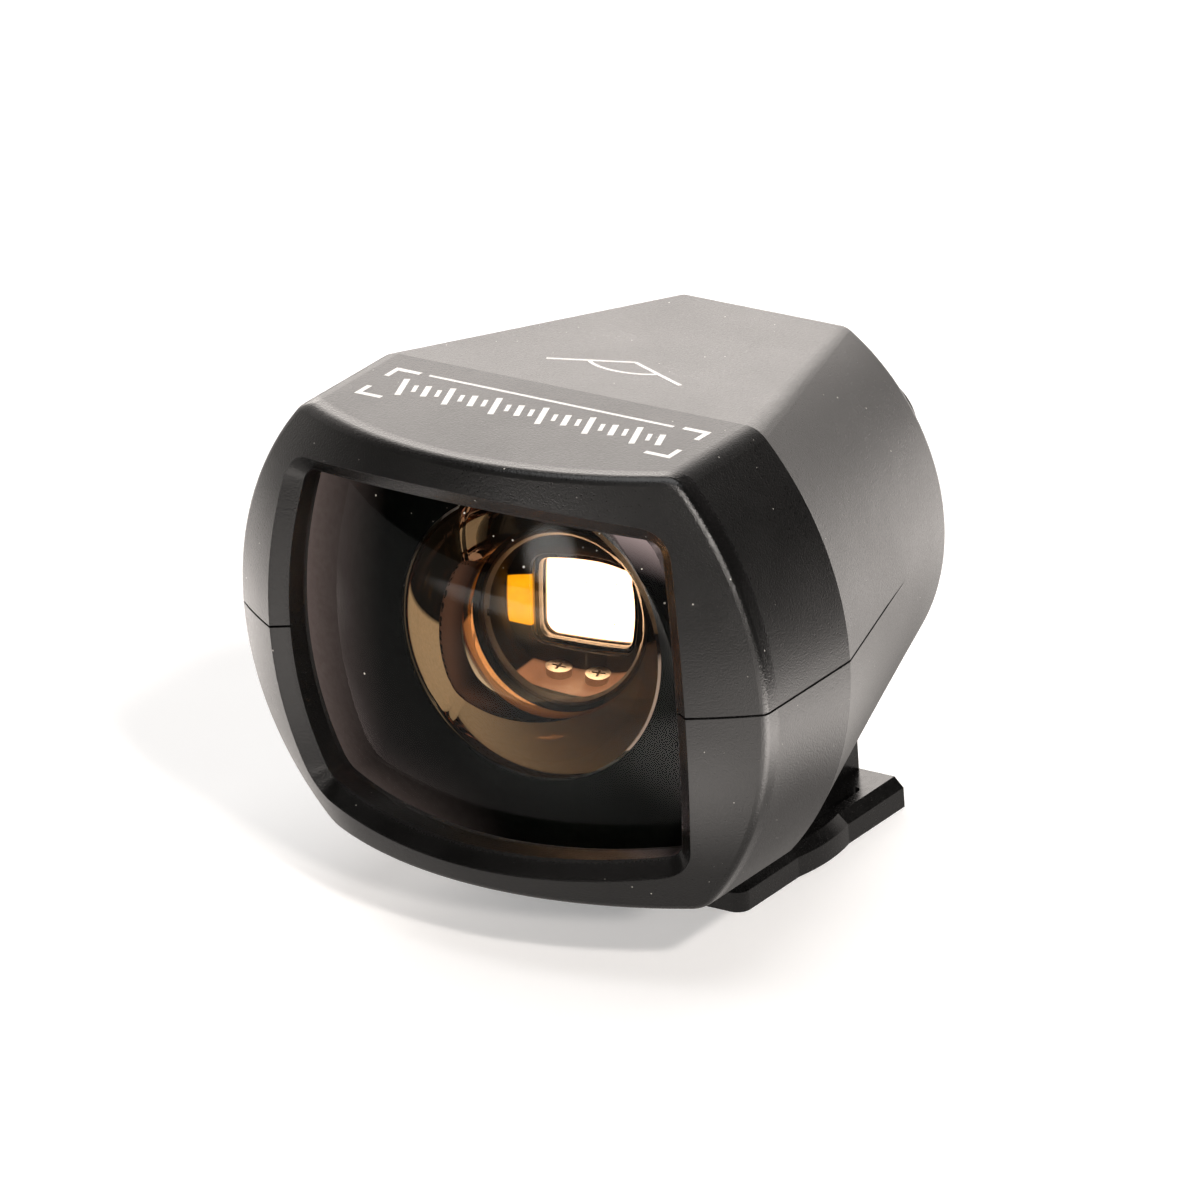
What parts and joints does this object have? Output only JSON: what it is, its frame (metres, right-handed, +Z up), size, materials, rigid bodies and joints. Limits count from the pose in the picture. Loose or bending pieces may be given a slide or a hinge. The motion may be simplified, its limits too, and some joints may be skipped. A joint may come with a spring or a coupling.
{
  "type": "accessory shoe optical viewfinder",
  "caption": "Wide-angle optical viewfinder with a bulging rectangular front lens and a tapering plastic shell on an accessory-shoe foot.",
  "frame": {"origin": "centre of the foot's underside, on the floor of the accessory shoe", "axes": "+Z up, -Y out of the front lens towards the scene, +Y towards the eye, +X to the right seen from the front"},
  "size_m": [0.036, 0.0325, 0.0306],
  "materials": {
    "shell_plastic": "satin, fine texture",
    "foot_plastic": "glossy moulded",
    "inner_black": "matt",
    "coated_glass": "semi-mirror coating on the hollow back, violet coating on the front",
    "clear_glass": "coated",
    "seal_rubber": "matt",
    "ring_metal": "black anodised",
    "line_paint": "matt white",
    "steel": "plated",
    "black_steel": "blackened"
  },
  "bodies": {
    "root": {"upper_shell": "shell_plastic", "lower_shell": "shell_plastic", "shoe_foot": "foot_plastic", "foot_screws": "steel", "case_screws": "black_steel", "front_lens": "coated_glass", "lens_seal": "seal_rubber", "lens_mask": "inner_black", "lens_cell": "inner_black", "second_lens": "clear_glass", "cell_ring": "ring_metal", "front_baffle": "inner_black", "rear_baffle": "inner_black", "frame_plate": "inner_black", "frame_line": "line_paint", "eye_tube": "inner_black", "field_lens": "clear_glass", "eye_spacer": "inner_black", "eye_lens": "clear_glass", "eye_bezel": "shell_plastic"}
  },
  "joints": []
}
